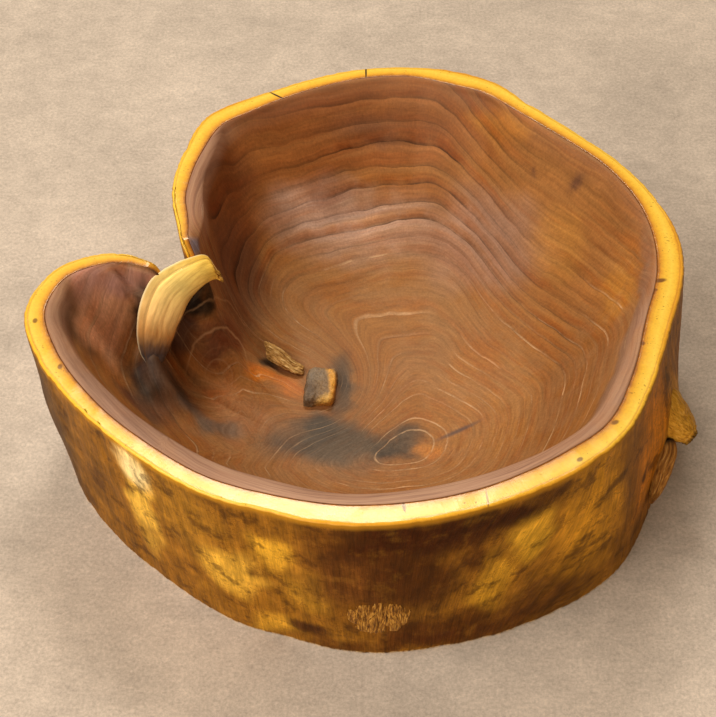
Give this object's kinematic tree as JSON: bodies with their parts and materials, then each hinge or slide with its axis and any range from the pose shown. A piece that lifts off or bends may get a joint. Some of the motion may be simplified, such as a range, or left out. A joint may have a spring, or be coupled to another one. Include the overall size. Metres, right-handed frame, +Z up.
{
  "type": "wooden bowl",
  "caption": "Live-edge bowl carved from one slice of a forked trunk, with a level rim, a rolled-in fork and a flat underside.",
  "frame": {"origin": "on the surface the bowl stands on, under the middle of its outline", "axes": "+Z up out of the bowl, -Y towards the viewer of the picture, the fork on the -X side"},
  "size_m": [0.4064, 0.3938, 0.122],
  "materials": {
    "heartwood": "oiled and sanded, satin",
    "sapwood": "oiled and sanded, satin",
    "bark": "rough, oiled",
    "knot": "oiled, uneven"
  },
  "bodies": {
    "root": {"heartwood_bowl": "heartwood", "sapwood_wall": "sapwood", "rolled_sapwood": "sapwood", "included_bark": "bark", "floor_knot": "knot", "branch_stub": "sapwood", "torn_flap": "bark", "bark_patch": "bark"}
  },
  "joints": []
}
